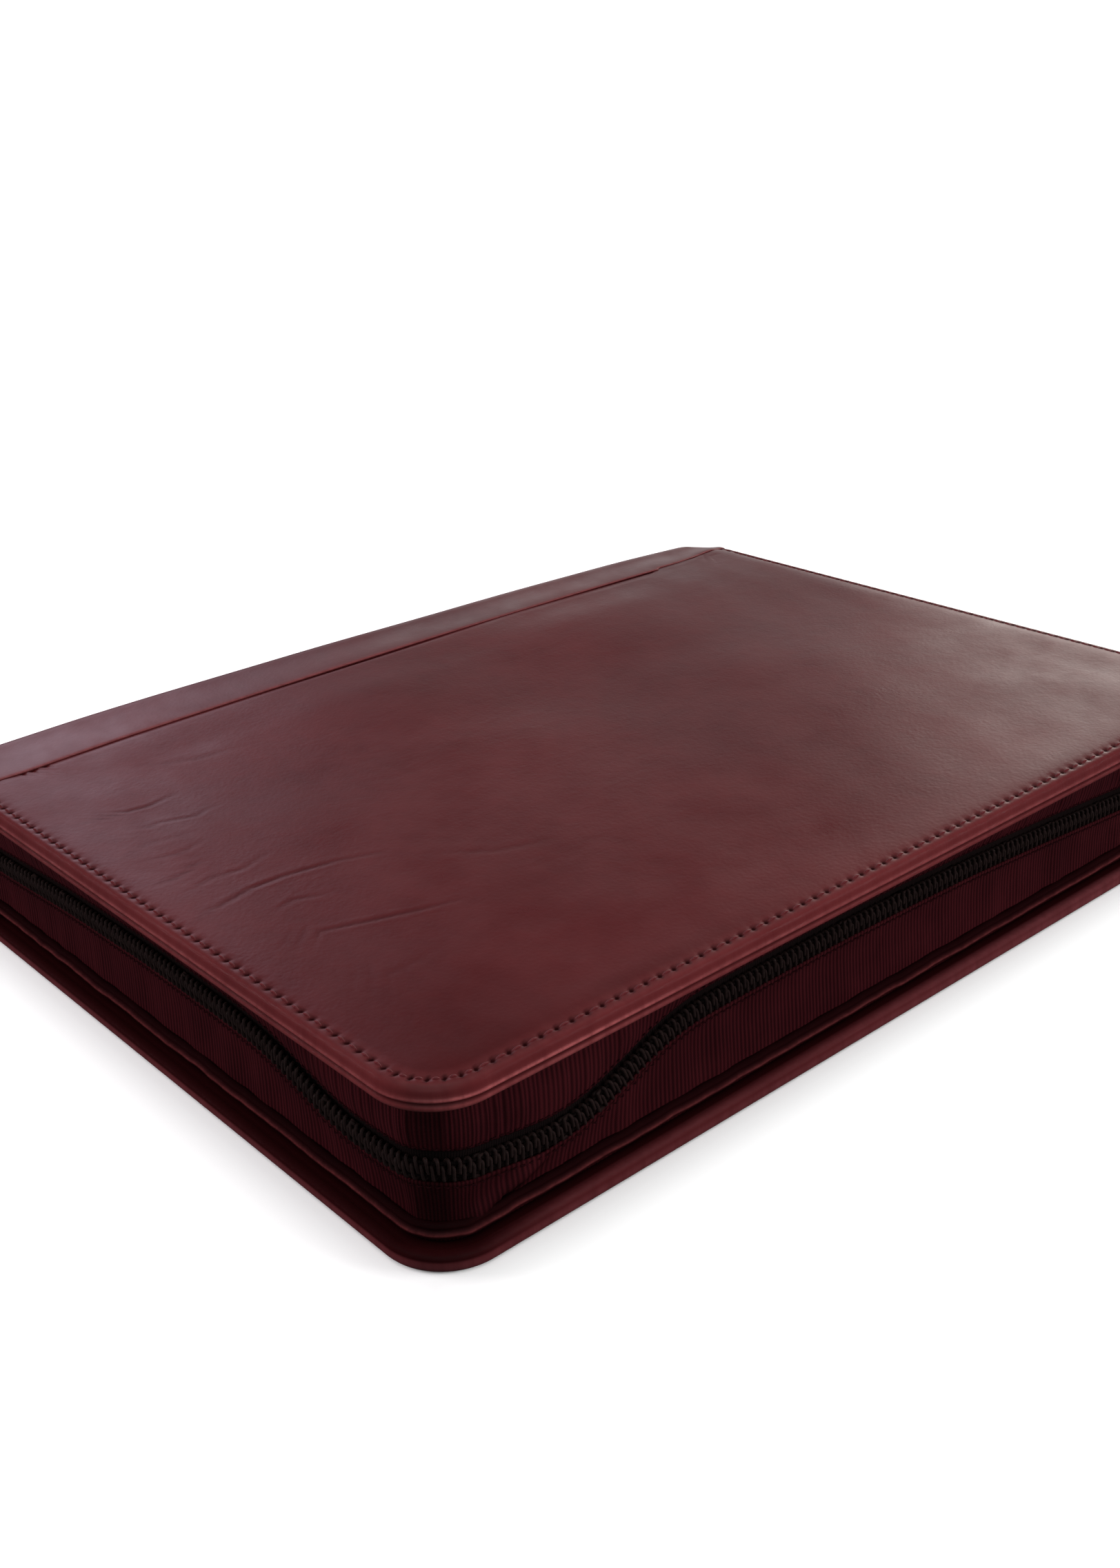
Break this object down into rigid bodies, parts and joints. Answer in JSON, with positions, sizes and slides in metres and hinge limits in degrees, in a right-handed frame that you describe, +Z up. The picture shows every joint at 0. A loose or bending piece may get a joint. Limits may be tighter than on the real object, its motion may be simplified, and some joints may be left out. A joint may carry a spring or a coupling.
{
  "type": "portfolio case",
  "caption": "Zip-round A4 leather portfolio case: stiff padded covers on a folding spine, ribbed fabric gusset, coil zip with slider, and a ring mechanism inside.",
  "frame": {"origin": "bottom centre of the closed case lying on its back cover", "axes": "+X from the spine to the fore edge, +Y along the spine, +Z up through the closed case"},
  "size_m": [0.262, 0.345, 0.05],
  "materials": {
    "burgundy_leather": "smooth semi-gloss",
    "pocket_leather": "smooth matte",
    "gusset_fabric": "fine ribbed",
    "lining_fabric": "woven",
    "zip_tape": "woven tape",
    "zip_coil": "nylon coil",
    "dark_metal": "satin black",
    "nickel": "bright nickel",
    "grey_board": "matte",
    "foam": "soft foam",
    "elastic": "ribbed elastic"
  },
  "bodies": {
    "base": {"back_cover_leather": "burgundy_leather", "back_wrap_flap": "burgundy_leather", "back_cover_board": "grey_board", "back_cover_lining": "lining_fabric", "lower_gusset": "gusset_fabric", "lower_welt": "gusset_fabric", "lower_zip_tape": "zip_tape", "lower_zip_coil": "zip_coil", "zip_start_tab": "burgundy_leather", "zip_end_tab": "burgundy_leather", "note_pad_pocket": "pocket_leather"},
    "spine": {"spine_leather": "burgundy_leather", "back_fold_leather": "burgundy_leather", "front_fold_leather": "burgundy_leather", "spine_board": "grey_board", "spine_lining": "lining_fabric", "spine_end_patches": "gusset_fabric", "ring_housing": "nickel", "ring_rivets": "nickel", "lever_brackets": "nickel"},
    "cover": {"front_cover_leather": "burgundy_leather", "front_wrap_flap": "burgundy_leather", "front_cover_foam": "foam", "front_cover_board": "grey_board", "front_cover_lining": "lining_fabric", "upper_gusset": "gusset_fabric", "upper_zip_tape": "zip_tape", "upper_zip_coil": "zip_coil", "document_pocket": "pocket_leather", "card_slots": "pocket_leather", "pen_loop": "elastic"},
    "ring_upper": {"hinge_plate_upper": "nickel", "half_rings_upper": "nickel"},
    "ring_lower": {"hinge_plate_lower": "nickel", "half_rings_lower": "nickel"},
    "lever_front": {"ring_lever_front": "nickel"},
    "lever_back": {"ring_lever_back": "nickel"},
    "slider": {"zip_slider": "dark_metal"},
    "pull": {"zip_pull": "dark_metal"}
  },
  "joints": [
    {"name": "spine_fold", "type": "hinge", "parent": "base", "child": "spine", "pos_m": [-0.12842, 0, 0.00258], "axis": [0, -1, 0], "range_deg": [0, 90], "deforming": ["back_fold_leather"]},
    {"name": "cover_hinge", "type": "hinge", "parent": "spine", "child": "cover", "pos_m": [-0.12842, 0, 0.04742], "axis": [0, -1, 0], "range_deg": [0, 90], "deforming": ["front_fold_leather"]},
    {"name": "ring_open", "type": "hinge", "parent": "spine", "child": "ring_upper", "pos_m": [-0.1254, 0, 0.0376], "axis": [0, -1, 0], "range_deg": [0, 10]},
    {"name": "ring_open_lower", "type": "hinge", "parent": "spine", "child": "ring_lower", "pos_m": [-0.1254, 0, 0.0124], "axis": [0, 1, 0], "range_deg": [0, 10]},
    {"name": "lever_front_press", "type": "hinge", "parent": "spine", "child": "lever_front", "pos_m": [-0.1244, -0.1475, 0.025], "axis": [0, 0, -1], "range_deg": [0, 25]},
    {"name": "lever_back_press", "type": "hinge", "parent": "spine", "child": "lever_back", "pos_m": [-0.1244, 0.1475, 0.025], "axis": [0, 0, 1], "range_deg": [0, 25]},
    {"name": "zip_slide", "type": "slide", "parent": "base", "child": "slider", "axis": [1, 0, 0], "range_m": [0, 0.195]},
    {"name": "pull_swing", "type": "hinge", "parent": "slider", "child": "pull", "pos_m": [-0.112, 0.1704, 0.024], "axis": [0, 0, 1], "range_deg": [0, 160]}
  ],
  "couplings": [
    {"joint": "cover_hinge", "follows": "spine_fold", "ratio": 1},
    {"joint": "ring_open_lower", "follows": "ring_open", "ratio": 1},
    {"joint": "lever_front_press", "follows": "ring_open", "ratio": 2.5},
    {"joint": "lever_back_press", "follows": "ring_open", "ratio": 2.5}
  ]
}
